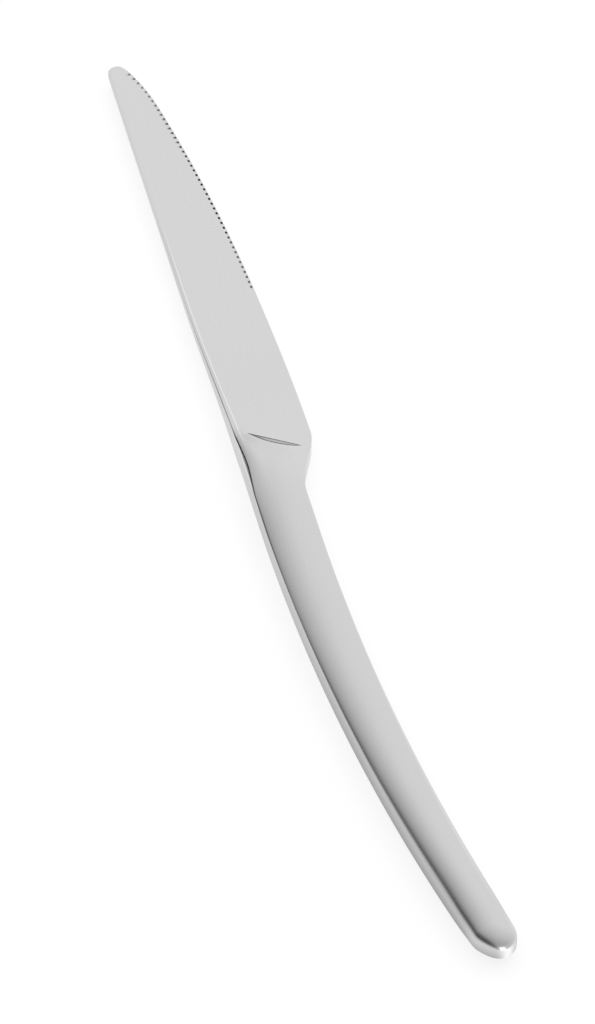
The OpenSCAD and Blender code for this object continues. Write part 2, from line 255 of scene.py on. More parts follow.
# Columns of section points along the outline: spine side, round the butt as a skewed half ellipse, belly side
def rimGrid(less, count):
    s = np.linspace(knife["joint"], capAt, handle["sideRows"])
    middle, across, along = centreLine(s)
    a = np.linspace(math.pi / 2, -math.pi / 2, handle["capRows"])[1:-1]
    cap = across[-1] * np.sin(a)[:, None] + along[-1] * np.cos(a)[:, None]
    centre = np.concatenate([middle, np.repeat(middle[-1:], len(cap), 0), middle[::-1]])
    out = np.concatenate([across, cap, -across[::-1]])
    at = np.concatenate([s, np.full(len(cap), capAt), s[::-1]])[:, None]
    onSpine = np.arange(len(at))[:, None] < len(s)
    forward = np.concatenate([0.0 * s, np.cos(a), 0.0 * s])[:, None]
    sideways = np.concatenate([0.0 * s + 1.0, np.sin(a), 0.0 * s - 1.0])[:, None]
    atEnd = ease((at + handle["endLength"] * forward - capAt + handle["endFrom"]) / handle["endRun"])
    radius = ((sideways / halfWidth(at)) ** 2 + (forward / handle["endLength"]) ** 2) ** -0.5
    width = radius - handle["endSkew"] * forward**2 * sideways - less - handle["endInset"] * forward
    side = mix(sideHeight(at), handle["sideEnd"], atEnd) + np.where(onSpine, swelling(-at), 0.0)
    side = np.maximum(side - less / 2, (handle["bead"] + handle["beadRoom"]) * (less > 0.0))
    power = mix(mix(knife["rimNeck"], handle["rimButt"], taper(at)), handle["rimEnd"], atEnd)
    u = handle["crownReach"] * np.linspace(0.0, 1.0, count) ** handle["bunch"]
    up = np.linspace(0.0, 1.0, handle["uprightCount"] + 1)[:-1]
    d = np.concatenate([0.0 * up + 0.0 * width, width * u], -1)
    z = np.concatenate([side * up, crownHeight(u, side, topHeight(at) - less, power)], -1)
    xy = centre[:, None, :] + out[:, None, :] * (width - d)[:, :, None]
    return np.concatenate([xy, z[:, :, None]], -1), np.stack([at + 0.0 * d, d + z], -1)


# Crown closed straight across from the spine side to the belly side, and by a fan at the round end
def crownFaces(ids):
    n = handle["sideRows"]
    across = np.stack([ids[: n - 1], ids[1:n], ids[::-1][1:n], ids[::-1][: n - 1]], -1)
    pivot = np.full(len(ids) - 2 * n, ids[n - 1])
    fan = np.stack([pivot, ids[n:-n], ids[n + 1 : len(ids) - n + 1]], -1)
    return across.tolist() + fan.tolist()


# Painted shade on the steep sides: how much a point lies on them, darker towards the butt and towards the
# lower edge
def paintedSideShade(grid, side):
    run = np.gradient(grid, axis=1)
    steep = np.abs(run[..., 2]) / np.linalg.norm(run, axis=-1)
    behind = -grid[..., 0]
    butt = ease((behind - paintedSideTone["buttFrom"]) / paintedSideTone["buttRun"])
    back = ease((behind - paintedSideTone["backFrom"]) / paintedSideTone["backRun"])
    end = ease((behind - paintedSideTone["endFrom"]) / paintedSideTone["endRun"])
    rim = handle["uprightCount"]
    down = 0.5 - 0.5 * side * grid[..., 2] / grid[:, rim : rim + 1, 2]
    graded = mix(paintedSideTone["upper"], paintedSideTone["lower"], down)
    tone = mix(paintedSideTone["neck"], graded, mix(paintedSideTone["atNeck"], 1.0, back)) * mix(1.0, paintedSideTone["end"], end)
    start = mix(paintedSideTone["steepNeck"], paintedSideTone["steepButt"], butt)
    return ease((steep - start) / mix(paintedSideTone["blendNeck"], paintedSideTone["blendButt"], butt)) * tone


# Painted highlight on the end of the butt: a bell over the angle round the end, fading upwards
def paintedEndHighlight(grid):
    middle, across, along = centreLine(np.array(capAt))
    out = grid[..., :2] - middle
    angle = np.degrees(np.arctan2(out @ across, out @ along))
    low = ease((paintedStreak["top"] - grid[..., 2]) / paintedStreak["fade"])
    return bell((angle + paintedStreak["angle"]) / paintedStreak["spread"]) * low * (out @ along > 0.0)


# Painted dark reflection line on the arris of the spine side, carried on from the bolster and dying away
def paintedRimLine(grid):
    point = np.arange(grid.shape[1]) - handle["uprightCount"]
    inset = halfWidth(knife["joint"]) * (np.maximum(0, point) / (handle["crownCount"] - 1)) ** handle["bunch"]
    spot = np.where(point < 0, 0.0, bell((inset - paintedArrisLook["inset"]) / paintedArrisLook["shellHalf"]))
    onSpine = np.arange(grid.shape[0])[:, None] < handle["sideRows"]
    fade = ease((grid[..., 0] + paintedArrisLook["shellEnd"]) / paintedArrisLook["shellRun"])
    return paintedArrisLook["joint"] * spot * onSpine * fade


# One shell: outer and inner grid, closed along the seam and at the mouth; side is 1 above and -1 below
def shellPiece(name, side):
    outer, outerBrush = rimGrid(0.0, handle["crownCount"])
    inner, innerBrush = rimGrid(knife["wall"], handle["innerCount"])
    rows = outer.shape[0]
    outerIds = np.arange(rows * outer.shape[1]).reshape(rows, -1)
    innerIds = outerIds.size + np.arange(rows * inner.shape[1]).reshape(rows, -1)
    faces = quads(outerIds).tolist() + quads(innerIds).tolist()
    faces += crownFaces(outerIds[:, -1]) + crownFaces(innerIds[:, -1])
    faces += quads(np.stack([outerIds[:, 0], innerIds[:, 0]])).tolist()
    mouth = [outerIds[end].tolist() + innerIds[end][::-1].tolist() for end in (0, -1)]
    mouth.append([int(outerIds[0, -1]), int(outerIds[-1, -1]), int(innerIds[-1, -1]), int(innerIds[0, -1])])
    points = np.concatenate([outer.reshape(-1, 3), inner.reshape(-1, 3)]) * np.array([1.0, 1.0, side])
    brush = np.concatenate([outerBrush.reshape(-1, 2), innerBrush.reshape(-1, 2)])
    zeros = np.zeros(len(points))
    hidden = zeros[outerIds.size :]
    endHighlight = paintedEndHighlight(outer)
    # Point values: painted highlight on the butt's end, painted dark line on the arris and painted shade on
    # the steep sides
    values = {
        "paintedHighlight": np.concatenate([endHighlight.ravel(), hidden]),
        "paintedShade": np.concatenate([paintedRimLine(outer).ravel(), hidden]),
        "side": np.concatenate([(paintedSideShade(outer, side) * (1.0 - endHighlight)).ravel(), hidden]),
        "ground": zeros,
    }
    return addPiece(name, points, faces + mouth, brush, values, handle["sharpAngle"])


upperShell = shellPiece("upperHandleShell", 1.0)
lowerShell = shellPiece("lowerHandleShell", -1.0)
print("handle shells built")

# Blade with bolster, spigot and tang
blade = {
    "length": 107.0,
    "heelWidth": 14.8,
    "edgeRise": 10.4,
    "sweep": 2.25,
    "spineRise": 0.85,
    "spineRun": 40.0,
    "spineThick": 1.5,  # towards the tip
    "spineGain": 4.6,  # further thickness at the plan's zero, dying away towards the tip
    "spineFade": 14.0,
    "spineBlend": 12.0,  # power of the smooth change from bolster to blade
    "edgeThick": 0.28,
    "heelThick": 3.4,  # of the unsharpened heel
    "heelAt": -4.0,
    "heelFade": 40.0,
    "shoulderHeel": 1.1,
    "shoulderWidth": 0.6,
    "shoulderFade": 20.0,
    "shoulderRise": 0.08,
    "shoulderEnd": 72.0,
    "shoulderOut": 24.0,  # over which its rise dies away
    "ridgeHalf": 0.09,  # half width of the painted highlight along the shoulder's ridge
    "ridgeOut": 30.0,
    "arrisNeck": 0.26,
    "arrisHeel": 0.12,
    "arrisTip": 0.06,
    "arrisFrom": -5.0,
    "arrisBlend": 7.0,
    "arrisRun": 40.0,
    "arrisShare": 0.8,  # most that the arris takes of the shoulder
    "uprightShare": 0.2,  # of the spine side's height, which stays upright at the least
    "tipRun": 1.9,
    "tipDrop": 2.4,
    "tipSweep": 14.0,
    "tipShare": 0.3,  # most that the arris or the shoulder takes of the width near the tip
    "heelX": -1.0,
    "heelDraw": 1.4,  # power that draws the curve of the heel out towards the neck
    "stepX": -1.45,
    "stepY": -2.4,
    "stepSlant": 27.8,
    "stepRun": 1.5,
    "stepEnd": 0.15,
    "stepMid": 0.54,
    "stepHalf": 0.34,
    "crownKeep": 0.27,  # part of the crown that is left at the middle of the step
    "wear": 1.9,  # power of the wear that takes the crown down towards the step
    "wearSpine": 3.4,
    "wearWidth": 0.4,  # part of the width over which the wear changes from the spine's
    "slantFade": 20.0,
    "notchCount": 46,
    "notchPitch": 1.42,
    "notchStart": 2.8,
    "notchRadius": 0.23,
    "notchLean": 65.0,
    "spigot": 4.0,
    "tangLength": 56.0,
    "tangWidth": 4.6,
    "tangThick": 2.4,
    "tangTaper": 0.62,
    "tangShift": 0.6,  # of the tang's end towards the spine
    "sharpAngle": 32.0,
}
halfNeck = knife["neckWidth"] / 2
heelY = halfNeck - blade["heelWidth"]
tipY = halfNeck + blade["spineRise"] - blade["tipDrop"]
blendLength = knife["joint"] + blade["stepX"]


# Spine without the tip's rounding: a smooth step up from the neck's line
def spineBase(x):
    return halfNeck + blade["spineRise"] * ease(x / blade["spineRun"])


# Spine with a quarter ellipse down to the tip
def spineLine(x):
    toTip = (x - blade["length"] + blade["tipRun"]) / blade["tipRun"]
    return spineBase(x) - blade["tipDrop"] * roundOff(toTip)


# Edge without the tip's rounding: a power of the distance from the plan's zero
def edgeBase(x):
    return heelY + blade["edgeRise"] * (np.maximum(0.0, x) / blade["length"]) ** blade["sweep"]


# Edge with a quarter ellipse up to the tip
def edgeLine(x):
    lift = tipY - edgeBase(blade["length"])
    return edgeBase(x) + lift * roundOff((x - blade["length"] + blade["tipSweep"]) / blade["tipSweep"])


# Belly side of the bolster: a smooth step from neck to heel, drawn out by a power
def bellyCurve(x):
    t = np.maximum(0.0, (x + knife["joint"]) / (knife["joint"] + blade["heelX"]))
    return mix(-halfNeck, heelY, ease(t ** blade["heelDraw"]))


# Half height of the spine side: the lower of the bolster's swelling and the blade's taper, blended smoothly
def spineSide(x):
    behind = knife["sideNeck"] + swelling(x)
    ahead = (blade["spineThick"] + blade["spineGain"] * np.exp(-x / blade["spineFade"])) / 2
    power = -blade["spineBlend"]
    return (behind**power + ahead**power) ** (1.0 / power)


# Half height of the belly side: the neck's, the unsharpened heel's and then the cutting edge's
def bellySide(x):
    heel = blade["heelThick"] / 2
    run = knife["joint"] + blade["heelAt"]
    behind = mix(knife["sideNeck"], heel, ease((x + knife["joint"]) / run))
    ahead = mix(blade["edgeThick"] / 2, heel, ease(1.0 - (x - blade["heelAt"]) / blade["heelFade"]))
    return np.where(x < blade["heelAt"], behind, ahead)


# Depth of the nearest notch's round cut, cosine of the edge's angle, and distance along the edge to the notch
def notchCut(x):
    first = blade["length"] - blade["notchStart"]
    k = np.clip(np.round((first - x) / blade["notchPitch"]), 0, blade["notchCount"] - 1)
    near = 0.1  # millimetres each way for the edge's slope
    slope = (edgeLine(x + near) - edgeLine(x - near)) / (2.0 * near)
    offset = (x - first + k * blade["notchPitch"]) * np.sqrt(1.0 + slope**2)
    chord = np.sqrt(np.maximum(0.0, blade["notchRadius"] ** 2 - offset**2))
    return chord / math.sin(math.radians(blade["notchLean"])), 1.0 / np.sqrt(1.0 + slope**2), offset


# A station runs square across far from the step and along the step's slant beside it
def slantX(q, y):
    near = np.where(q < 0, ease(1.0 + q / blendLength), ease(1.0 - q / blade["slantFade"]))
    return q + blade["stepX"] + math.tan(math.radians(blade["stepSlant"])) * near * (y - blade["stepY"])


# Ends of a station on the outline, found by substitution, and the same ends without the tip's rounding
def stationEnds(q):
    spineX = slantX(q, halfNeck)
    y = bellyCurve(q + blade["stepX"])
    for again in range(12):  # more rounds than it needs to settle
        x = slantX(q, y)
        y = np.where(x > 0, edgeLine(x), bellyCurve(x))
    bellyX = slantX(q, y)
    a = np.stack([spineX, spineLine(spineX)], -1)
    b = np.stack([bellyX, y], -1)
    return a, b, spineBase(spineX), np.where(bellyX > 0, edgeBase(bellyX), y)


# Stretches of a section from the seam over the spine side, the face and the belly side back to the seam
stretch = {
    "side": 3,
    "rim": 9,
    "shoulder": 12,
    "face": 8,
    "middle": 6,
    "lower": 6,
    "edge": 10,
    "bellySide": 3,
}
order = list(stretch)
part = np.concatenate([[0.0]] + [np.linspace(0.0, 1.0, n + 1)[1:] for n in stretch.values()])
which = np.concatenate([[0], np.repeat(np.arange(len(order)), list(stretch.values()))])

# Ends of these stretches: from side to middle on the handle's crown, and across the whole width on the blade
crownEnds = {"rim": 0.06, "shoulder": 0.22, "face": 0.7}
bladeEnds = {"face": 0.36, "middle": 0.66, "lower": 0.94}
faceBunch = 1.5  # power that draws the face's points towards the shoulder


# Points of one stretch
def on(name):
    return which == order.index(name)


# Section of the crowned handle on these points
def handleHalf(spineHeight, bellyHeight, top, soft, width):
    level = 0.0 * part
    u = np.choose(
        which,
        [
            level,
            crownEnds["rim"] * part**2,
            mix(crownEnds["rim"], crownEnds["shoulder"], part),
            mix(crownEnds["shoulder"], crownEnds["face"], part),
            1.0 - (1.0 - crownEnds["face"]) * np.abs(2.0 * part - 1.0),
            mix(crownEnds["face"], crownEnds["rim"], part),
            crownEnds["rim"] * (1.0 - part) ** 2,
            level,
        ],
    )
    onLeft = (which < order.index("middle")) | (on("middle") & (part < 0.5))
    side = np.where(onLeft, spineHeight, bellyHeight)
    z = crownHeight(u, side, top, knife["rimNeck"]) - np.where(onLeft, rounding(u / 2 * width, soft), 0.0)
    z = np.where(on("side"), (side - soft) * part, np.where(on("bellySide"), side * (1.0 - part), z))
    return np.where(onLeft, u / 2, 1.0 - u / 2), z


# Section of the blade: upright spine, rounded arris, shoulder facet and flat ground face down to the edge,
# with the painted highlight along the shoulder's ridge
def bladeHalf(a, b, baseA, baseB):
    x = (a[..., 0] + b[..., 0]) / 2
    band = spineSide(a[..., 0])
    edge = bellySide(b[..., 0])
    full = baseA - baseB
    fade = np.exp(-np.maximum(0.0, x) / blade["shoulderFade"])
    facet = mix(blade["shoulderWidth"], blade["shoulderHeel"], fade)
    rise = blade["shoulderRise"] * ease((blade["shoulderEnd"] - x) / blade["shoulderOut"])
    toHeel = ease((a[..., 0] - blade["arrisFrom"]) / blade["arrisBlend"])
    arris = mix(blade["arrisNeck"], blade["arrisHeel"], toHeel)
    arris = mix(arris, blade["arrisTip"], ease(a[..., 0] / blade["arrisRun"]))
    s = facet / full
    width = a[..., 1] - b[..., 1]

    # Height at share v of the width: the shoulder's rise and then a straight fall to the edge
    def level(v):
        f = (baseA - mix(a[..., 1], b[..., 1], v)) / full
        ground = mix(band + rise, edge, (f - s) / (1.0 - s))
        return np.where(f < s, band + rise * f / s, ground)

    arris = np.minimum(arris, blade["tipShare"] * width)
    facetV = np.minimum(blade["tipShare"], facet / width)
    arrisV = np.minimum(arris / width, blade["arrisShare"] * facetV)
    flat = 0.0 * s
    v = np.choose(
        which,
        [
            0.0 * part + flat,
            arrisV * part**2,
            mix(arrisV, facetV, part),
            mix(facetV, bladeEnds["face"], part**faceBunch),
            mix(bladeEnds["face"], bladeEnds["middle"], part) + flat,
            mix(bladeEnds["middle"], bladeEnds["lower"], part) + flat,
            mix(bladeEnds["lower"], 1.0, part) + flat,
            1.0 + 0.0 * part + flat,
        ],
    )
    corner = level(0.0 * v[..., :1])
    low = np.maximum(blade["uprightShare"] * corner, corner - arris)
    turn = low * (1 - part) ** 2 + 2 * corner * part * (1 - part) + level(arrisV) * part**2
    soft = softness(a[..., 0])
    face = level(v) - rounding(v * width, soft)
    z = np.where(on("rim"), np.minimum(turn, face), face)
    z = np.where(on("side"), np.minimum(low, corner - soft) * part, z)
    z = np.where(on("bellySide"), level(1.0 + 0.0 * v) * (1.0 - part), z)
    # Painted highlight: a bright line along the shoulder's ridge, fading towards the tip
    ridgeHighlight = bell((v - facetV) * width / blade["ridgeHalf"])
    return v, z, ridgeHighlight * ease((blade["shoulderEnd"] - x) / blade["ridgeOut"])


# Share of the step's full run at share v of the width: a parabola over its length
def stepPart(v):
    return np.maximum(0.0, 1.0 - ((v - blade["stepMid"]) / blade["stepHalf"]) ** 2)


# Upper points for station numbers q; the crown wears off towards the step, and past it the face is ground
def upperPoints(q, ground):
    a, b, baseA, baseB = stationEnds(q)
    v, z, ridgeHighlight = bladeHalf(a, b, baseA, baseB)
    width = np.linalg.norm(a - b, axis=-1)
    sides = (spineSide(a[..., 0]), bellySide(b[..., 0]))
    handleShare, handleZ = handleHalf(*sides, knife["halfThick"], softness(a[..., 0]), width)
    wear = mix(blade["wearSpine"], blade["wear"], ease(v / blade["wearWidth"]))
    worn = ease((np.maximum(0.0, q + blendLength) / blendLength) ** wear)
    worn = worn * (1.0 - blade["crownKeep"] * stepPart(v))
    worn = np.where(ground, 1.0, worn)
    share = mix(handleShare, v, worn)
    height = mix(handleZ, z, worn)
    return mix(a, b, share[..., None]), height, ridgeHighlight * worn


# Rows of points along the blade: numbers of rows, and millimetres
bladeRows = {
    "behind": 70,
    "flank": 26,
    "slanted": 60,
    "plain": 24,
    "serratedStep": 0.1,
    "tip": 26,
    "tipStretch": 2.4,
    "tipInset": 0.03,  # of the last row from the tip
}
stepShare = bladeHalf(*stationEnds(np.zeros((1, 1))))[0][0]
stepBack = blade["stepEnd"] + blade["stepRun"] * stepPart(stepShare)
behindQ = -blendLength + np.linspace(0.0, 1.0, bladeRows["behind"])[:, None] * (blendLength - stepBack)
tipQ = blade["length"] - blade["stepX"]
tipFrom = tipQ - bladeRows["tipStretch"]
serratedQ = tipQ - blade["notchStart"] - blade["notchPitch"] * (blade["notchCount"] - 0.5)
aheadQ = np.concatenate(
    [
        np.linspace(0.0, blade["slantFade"], bladeRows["slanted"]),
        np.linspace(blade["slantFade"], serratedQ, bladeRows["plain"])[1:],
        np.arange(serratedQ + bladeRows["serratedStep"], tipFrom, bladeRows["serratedStep"]),
        tipQ - bladeRows["tipStretch"] * np.cos(np.linspace(0.0, math.pi / 2, bladeRows["tip"]))[:-1],
        [tipQ - bladeRows["tipInset"]],
    ]
)[:, None] + 0.0 * stepBack
behindXy, behindZ, behindHighlight = upperPoints(behindQ, False)
aheadXy, aheadZ, aheadHighlight = upperPoints(aheadQ, True)

# Flank of the step: it dips at both of its lines and is nearly level between them; its tones are painted
# shade
stepLook = {
    "dip": 0.4,  # part of the step's fall at each of its lines
    "dipRun": 0.3,  # part of its run that this takes
    "lineRun": 0.2,  # part of its run that a dark line takes
    "line": 0.9,  # tone of the lines
    "between": 0.22,  # tone between them
    "spine": 0.4,  # tone between them at the end towards the spine
    "spineFrom": 0.46,  # part of the width where that begins
    "spineRun": 0.18,
    "endGain": 2.2,  # by which the tones grow at the narrow ends
    "endFade": 0.05,  # power by which they die away at the very ends
}
down = np.linspace(0.0, 1.0, bladeRows["flank"])[1:-1, None]
dipRun = stepLook["dipRun"]
dips = ease(down / dipRun) + ease((down - 1.0 + dipRun) / dipRun)
levelPart = np.clip((down - dipRun) / (1.0 - 2.0 * dipRun), 0.0, 1.0)
fall = stepLook["dip"] * dips + (1.0 - 2.0 * stepLook["dip"]) * levelPart
flankXy = mix(behindXy[-1], aheadXy[0], down[..., None])
flankZ = mix(behindZ[-1], aheadZ[0], fall)
upperXy = np.concatenate([behindXy, flankXy, aheadXy])
upperZ = np.concatenate([behindZ, flankZ, aheadZ])
ridgeHighlight = np.concatenate([behindHighlight, 0.0 * flankZ, aheadHighlight])
planX = upperXy[..., 0]

# Painted shade: dark lines round the flank, strongest at its narrow ends, with fainter shade between them
lines = bell(down / stepLook["lineRun"]) + bell((1.0 - down) / stepLook["lineRun"])
depth = stepPart(stepShare)
toSpine = ease((stepLook["spineFrom"] - stepShare) / stepLook["spineRun"])
flankShadeTone = mix(stepLook["between"], stepLook["spine"], toSpine) + stepLook["line"] * lines
flankShadeTone = flankShadeTone * depth ** stepLook["endFade"] * mix(stepLook["endGain"], 1.0, depth)
paintedStepShade = np.concatenate([0.0 * behindZ, np.clip(flankShadeTone, 0.0, 1.0), 0.0 * aheadZ])

# Painted shade: a dark reflection line on the arris, strongest beside the step, and the soft shade next to it
# on the bolster
alongBlade = ease((paintedArrisLook["bladeEnd"] - planX) / paintedArrisLook["bladeRun"])
besideStep = mix(paintedArrisLook["blade"], 1.0, ease((paintedArrisLook["stepEnd"] - planX) / paintedArrisLook["stepRun"]))
fromJoint = mix(paintedArrisLook["joint"], 1.0, ease((planX + paintedArrisLook["jointAt"]) / paintedArrisLook["jointRun"]))
inset = np.linalg.norm(upperXy - upperXy[:, :1], axis=-1)
past = inset - np.maximum(paintedArrisLook["inset"], paintedArrisLook["onSoft"] * softness(planX))
line = np.clip(paintedArrisLook["gain"] * bell(past / paintedArrisLook["half"]), 0.0, 1.0)
line = line * besideStep * alongBlade * fromJoint
shade = paintedArrisLook["shade"] * ease((paintedArrisLook["stepEnd"] - planX) / paintedArrisLook["shadeRun"])
shade = shade * ease((planX + paintedArrisLook["jointAt"]) / paintedArrisLook["shadeRise"])
shade = shade * np.exp(-np.maximum(0.0, past) / paintedArrisLook["shadeWidth"])
shade = shade * ease(past / paintedArrisLook["half"] + 1.0)
onFace = (which >= order.index("rim")) & (which <= order.index("middle"))
line = np.where(onFace, np.maximum(line, shade), 0.0)

# Notches: round grindings leaning far over the edge, cut from the upper face only, with painted shade inside
# and just round them
notchLook = {
    "floor": 0.005,  # least height of the cut over the under face at the edge
    "floorRise": 0.03,  # by which that is higher inside the edge
    "underLift": 0.004,  # of the under face's edge in the cut
    "halfLength": 0.35,  # of the dark spot along the edge
    "halfDepth": 0.28,
    "inset": 0.34,  # of the spot's middle from the edge
    "reach": 1.15,
    "gain": 2.5,  # sharpness of the spot's rim
    "tip": 0.6,  # tone at the tip
    "tipRun": 40.0,
    "back": 0.8,  # part of full tone at the last notches
    "backFrom": 50.0,  # from the tip
    "backRun": 5.0,
}
deep, lean, offset = notchCut(planX)
inward = (upperXy[..., 1] - edgeLine(planX)) * lean
halfEdge = blade["edgeThick"] / 2
onEdge = on("bellySide")
incline = math.tan(math.radians(90.0 - blade["notchLean"]))
least = notchLook["floor"] - halfEdge + notchLook["floorRise"] * np.where(onEdge, 1.0 - part, 1.0)
floorZ = np.maximum(halfEdge + incline * inward - deep, least)
cut = (deep > 0.0) & (floorZ < upperZ)
cutZ = np.where(cut, floorZ, upperZ)
underZ = np.where(cut & onEdge, np.minimum(-upperZ, notchLook["underLift"] * part - halfEdge), -upperZ)
# Painted shade: a dark spot over each notch
spot = (offset / notchLook["halfLength"]) ** 2 + ((inward - notchLook["inset"]) / notchLook["halfDepth"]) ** 2
fromTip = blade["length"] - planX
atBack = ease((fromTip - notchLook["backFrom"]) / notchLook["backRun"])
notchShadeTone = mix(notchLook["tip"], 1.0, ease(fromTip / notchLook["tipRun"]))
notchShadeTone = notchShadeTone * mix(1.0, notchLook["back"], atBack)
paintedNotchShade = np.clip(notchLook["gain"] * (notchLook["reach"] - spot), 0.0, 1.0) * notchShadeTone

# Spigot and tang behind the joint, on the same points of a section
wallWidth = halfNeck - knife["wall"]
spigotShare, spigotZ = handleHalf(
    spineSide(-knife["joint"]) - knife["wall"] / 2,
    bellySide(-knife["joint"]) - knife["wall"] / 2,
    knife["halfThick"] - knife["wall"],
    0.0,
    knife["neckWidth"] - 2.0 * knife["wall"],
)
spigotY = wallWidth * (1.0 - 2.0 * spigotShare)
spigotEnd = knife["joint"] + blade["spigot"]
tangMiddle, tangAcross = centreLine(np.array(spigotEnd + blade["tangLength"]))[:2]
tangEnd = tangMiddle + tangAcross * blade["tangShift"]
tangY = np.linspace(1.0, -1.0, len(part)) / 2 * blade["tangWidth"]
tangZ = np.where(on("side"), part, np.where(on("bellySide"), 1.0 - part, 1.0)) * blade["tangThick"] / 2


# One row of section points at x
def innerRow(x, y, z):
    return np.stack([np.full(len(part), x), y, z], -1)


innerRows = np.stack(
    [
        innerRow(tangEnd[0], tangEnd[1] + tangY * blade["tangTaper"], tangZ * blade["tangTaper"]),
        innerRow(-spigotEnd, tangY, tangZ),
        innerRow(-spigotEnd, spigotY, spigotZ),
        innerRow(-knife["joint"], spigotY, spigotZ),
    ]
)


# Upper and under rows as closed rings, the under ones run backwards without the two points at the seams
def ringed(upper, under):
    return np.concatenate([upper, under[:, ::-1][:, 1:-1]], 1)


# Point values as rings, none on the rows inside the handle
def ringValues(upper, under):
    blank = np.zeros((len(innerRows), len(part)))
    return ringed(np.concatenate([blank, upper]), np.concatenate([blank, under])).ravel()


topRows = np.concatenate([innerRows, np.concatenate([upperXy, cutZ[..., None]], -1)])
underInner = innerRows * np.array([1.0, 1.0, -1.0])
underRows = np.concatenate([underInner, np.concatenate([upperXy, underZ[..., None]], -1)])
rings = ringed(topRows, underRows)
ringIds = np.arange(rings.shape[0] * rings.shape[1]).reshape(rings.shape[:2])
bladeFaces = quads(np.concatenate([ringIds, ringIds[:, :1]], 1)).tolist()
bladeFaces += [ringIds[0].tolist(), ringIds[-1].tolist()]
# Painted shade on the blade's upright sides: the neck's grey, carried onto the bolster's belly side
paintedBellyShade = paintedSideTone["neck"] * ease(-planX / paintedSideTone["bellyRun"])
paintedUprightShade = np.where(on("side"), paintedSideTone["neck"], np.where(on("bellySide"), paintedBellyShade, 0.0))
bladeValues = {
    "paintedHighlight": ringValues(ridgeHighlight, ridgeHighlight),
    "paintedShade": ringValues(np.maximum(np.maximum(paintedNotchShade, line), paintedStepShade), 0.0 * ridgeHighlight),
    "side": ringValues(paintedUprightShade, paintedUprightShade),
    "ground": ease((rings[..., 0] + knife["joint"]) / knife["joint"]).ravel(),
}
bladeBrush = np.stack([-rings[..., 0], rings[..., 1]], -1).reshape(-1, 2)
bladePiece = addPiece(
    "bladeAndBolster", rings.reshape(-1, 3), bladeFaces, bladeBrush, bladeValues, blade["sharpAngle"]
)
print("blade built")


# One node with its settings and links
def addNode(tree, kind, inputs=None, **settings):
    n = tree.nodes.new(kind)
    for key, value in settings.items():
        setattr(n, key, value)
    for key, value in (inputs or {}).items():
        if isinstance(value, bpy.types.NodeSocket):
            tree.links.new(value, n.inputs[key])
        else:
            n.inputs[key].default_value = value
    return n


# sRGB hex colour to linear values with alpha
def colour(code):
    c = [int(code[i : i + 2], 16) / 255 for i in (1, 3, 5)]
    return tuple(v / 12.92 if v <= 0.04045 else ((v + 0.055) / 1.055) ** 2.4 for v in c) + (1.0,)


# Empty material and its node tree
def newMaterial(name):
    m = bpy.data.materials.new(name)
    m.use_nodes = True
    m.node_tree.nodes.clear()
    return m, m.node_tree


# Colour b over colour a by a factor; 6, 7 and 2 are the colour sockets of the mix node
def colourMix(tree, factor, a, b):
    return addNode(tree, "ShaderNodeMix", {"Factor": factor, 6: a, 7: b}, data_type="RGBA").outputs[2]


# One of the values that the points of a mesh carry
def pointValue(tree, key):
    return addNode(tree, "ShaderNodeAttribute", attribute_name=key).outputs["Fac"]


# Steel of the blade and the shells: colours, and brush lines in millimetres
steel = {
    "plain": "#d9d9d9",
    "ground": "#e1e1e1",  # of the blade's ground face
    # painted highlight on the shoulder's ridge and the butt's end
    "paintedHighlight": "#ffffff",
    # painted shade and dark reflection lines: arris, step and notches
    "paintedShade": "#161617",
    # painted shade on the upright sides
    "side": "#8c8c8d",
    "rough": 0.27,
    "roughSpread": 0.03,
    "lineLength": 20.0,
    "lineWidth": 0.2,  # coarser than real brush lines, so that they show
    "lineDepth": 0.02,
    "lineStrength": 0.15,
    "noise": (0.3, 0.7),  # range of the pattern that the roughness follows
}


# Satin steel: even light grey with a soft sheen and fine lengthwise brush lines, with painted highlights,
# painted dark reflection lines and painted shade from the point values
def satinSteel(name):
    m, tree = newMaterial(name)
    uv = addNode(tree, "ShaderNodeUVMap", uv_map="brushMm")
    scale = (1.0 / steel["lineLength"], 1.0 / steel["lineWidth"], 1.0)
    size = addNode(tree, "ShaderNodeVectorMath", {0: uv.outputs["UV"], 1: scale}, operation="MULTIPLY")
    brushed = addNode(tree, "ShaderNodeTexNoise", {"Vector": size.outputs[0], "Scale": 1.0, "Detail": 3.0})
    tone = colour(steel["plain"])
    for key in ("ground", "paintedHighlight", "paintedShade", "side"):
        tone = colourMix(tree, pointValue(tree, key), tone, colour(steel[key]))
    roughness = addNode(
        tree,
        "ShaderNodeMapRange",
        {
            "Value": brushed.outputs["Fac"],
            "From Min": steel["noise"][0],
            "From Max": steel["noise"][1],
            "To Min": steel["rough"] - steel["roughSpread"],
            "To Max": steel["rough"] + steel["roughSpread"],
        },
    )
    bump = addNode(
        tree,
        "ShaderNodeBump",
        {
            "Strength": steel["lineStrength"],
            "Distance": steel["lineDepth"] * 0.001,
            "Height": brushed.outputs["Fac"],
        },
    )
    shader = addNode(
        tree,
        "ShaderNodeBsdfPrincipled",
        {
            "Base Color": tone,
            "Metallic": 1.0,
            "Roughness": roughness.outputs["Result"],
            "Normal": bump.outputs["Normal"],
        },
    )
    addNode(tree, "ShaderNodeOutputMaterial", {"Surface": shader.outputs["BSDF"]})
    return m


